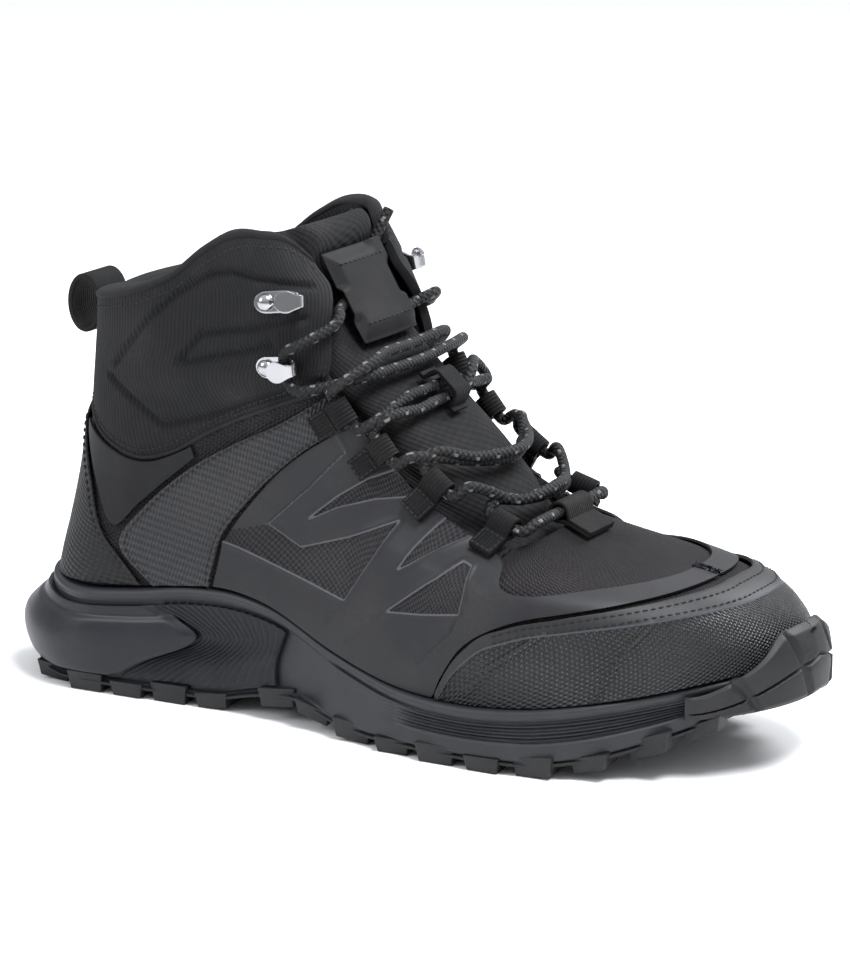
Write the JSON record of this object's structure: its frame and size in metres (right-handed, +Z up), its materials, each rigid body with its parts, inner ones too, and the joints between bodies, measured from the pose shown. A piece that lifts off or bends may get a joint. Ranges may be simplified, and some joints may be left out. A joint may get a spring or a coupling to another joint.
{
  "type": "hiking boot",
  "caption": "Mid-height hiking boot for the right foot, with a lugged sole, film overlays, padded ankle cuff, webbing lace loops, metal lacing hooks, a lace and a heel pull loop.",
  "frame": {"origin": "on the ground under the middle of the boot's box", "axes": "+X from heel to toe, +Y from the outer side to the inner side of the foot, +Z up"},
  "size_m": [0.3022, 0.1113, 0.1726],
  "materials": {
    "outsole_rubber": "matte moulded rubber",
    "midsole_foam": "matte moulded foam",
    "heel_clip": "satin moulded plastic",
    "board": "plain fibre board",
    "footbed": "brushed cloth on foam",
    "mesh_cloth": "fine woven mesh",
    "lining": "knitted lining",
    "toe_cap": "embossed rubberised cloth",
    "film": "satin moulded film",
    "woven_band": "diagonal weave",
    "heel_cap": "coarse twill",
    "cuff_fabric": "ribbed knit",
    "binding": "smooth edge binding",
    "tongue_fabric": "brushed knit",
    "webbing": "ribbed webbing",
    "hook_metal": "polished nickel",
    "lace": "round braid with pale flecks"
  },
  "bodies": {
    "boot": {"outsole": "outsole_rubber", "midsole": "midsole_foam", "heel_clip": "heel_clip", "toe_bumper": "outsole_rubber", "arch_panel_outer": "midsole_foam", "arch_panel_inner": "midsole_foam", "lasting_board": "board", "vamp": "mesh_cloth", "lining_vamp": "lining", "toe_cap": "toe_cap", "quarter_outer": "mesh_cloth", "lining_quarter_outer": "lining", "film_outer": "film", "midfoot_band_outer": "woven_band", "heel_cover_outer": "film", "quarter_inner": "mesh_cloth", "lining_quarter_inner": "lining", "film_inner": "film", "midfoot_band_inner": "woven_band", "heel_cover_inner": "film", "heel_cap": "heel_cap", "cuff": "cuff_fabric", "collar_padding": "lining", "collar_binding": "binding", "tongue_lower": "mesh_cloth", "lace_loop_outer_1": "webbing", "lace_loop_outer_2": "webbing", "lace_loop_outer_3": "webbing", "lace_loop_outer_4": "webbing", "hook_outer_1": "hook_metal", "rivet_outer_1": "hook_metal", "hook_outer_2": "hook_metal", "rivet_outer_2": "hook_metal", "lace_loop_inner_1": "webbing", "lace_loop_inner_2": "webbing", "lace_loop_inner_3": "webbing", "lace_loop_inner_4": "webbing", "hook_inner_1": "hook_metal", "rivet_inner_1": "hook_metal", "hook_inner_2": "hook_metal", "rivet_inner_2": "hook_metal", "throat_loop": "webbing", "lace_keeper": "webbing", "lace": "lace"},
    "tongue": {"tongue_upper": "tongue_fabric", "tongue_badge": "film", "lace_end_outer": "lace", "lace_end_inner": "lace"},
    "pull_loop": {"pull_loop": "webbing"},
    "footbed": {"footbed": "footbed"}
  },
  "joints": [
    {"name": "tongue_fold", "type": "hinge", "parent": "boot", "child": "tongue", "pos_m": [-0.0097, 0, 0.1262], "axis": [0, 1, 0], "range_deg": [-10, 0], "stiffness_Nm_per_rad": 0.15},
    {"name": "pull_loop_swing", "type": "hinge", "parent": "boot", "child": "pull_loop", "pos_m": [-0.1191, 0, 0.1315], "axis": [0, 1, 0], "range_deg": [-20, 25], "stiffness_Nm_per_rad": 0.02},
    {"name": "footbed_lift", "type": "hinge", "parent": "boot", "child": "footbed", "pos_m": [0.1315, 0, 0.031], "axis": [0, 1, 0], "range_deg": [0, 6]}
  ]
}
